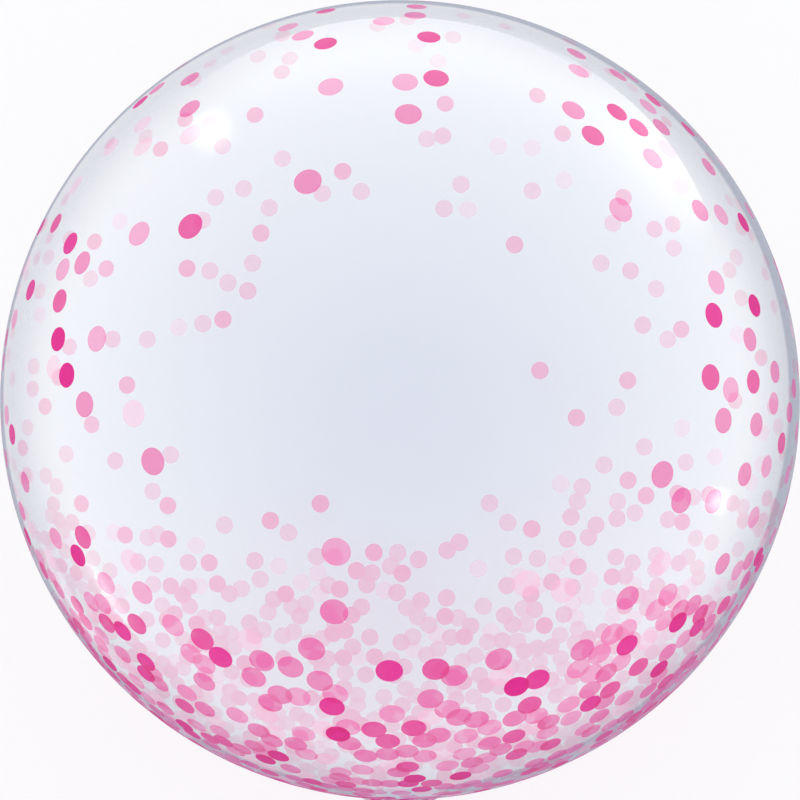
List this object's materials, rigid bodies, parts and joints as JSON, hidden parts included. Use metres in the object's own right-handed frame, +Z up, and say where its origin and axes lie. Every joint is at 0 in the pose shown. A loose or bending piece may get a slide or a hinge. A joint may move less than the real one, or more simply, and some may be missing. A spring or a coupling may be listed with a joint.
{
  "type": "clear bubble balloon",
  "caption": "Clear round bubble balloon of stretched plastic film printed with pink confetti dots, blown up and lying on its side, with a gathered neck and a flat filling tail.",
  "frame": {"origin": "the middle of the small flat spot under the balloon, where it rests on a floor or table", "axes": "+Z up from the flat spot through the ball's centre, +Y along the neck's axis towards the ball's crown, so the neck and tail point to -Y, +X to the right of someone who looks along +Y"},
  "size_m": [0.61, 0.7418, 0.6073],
  "materials": {
    "clear_film": "gloss"
  },
  "bodies": {
    "root": {"bubble": "clear_film"}
  },
  "joints": []
}
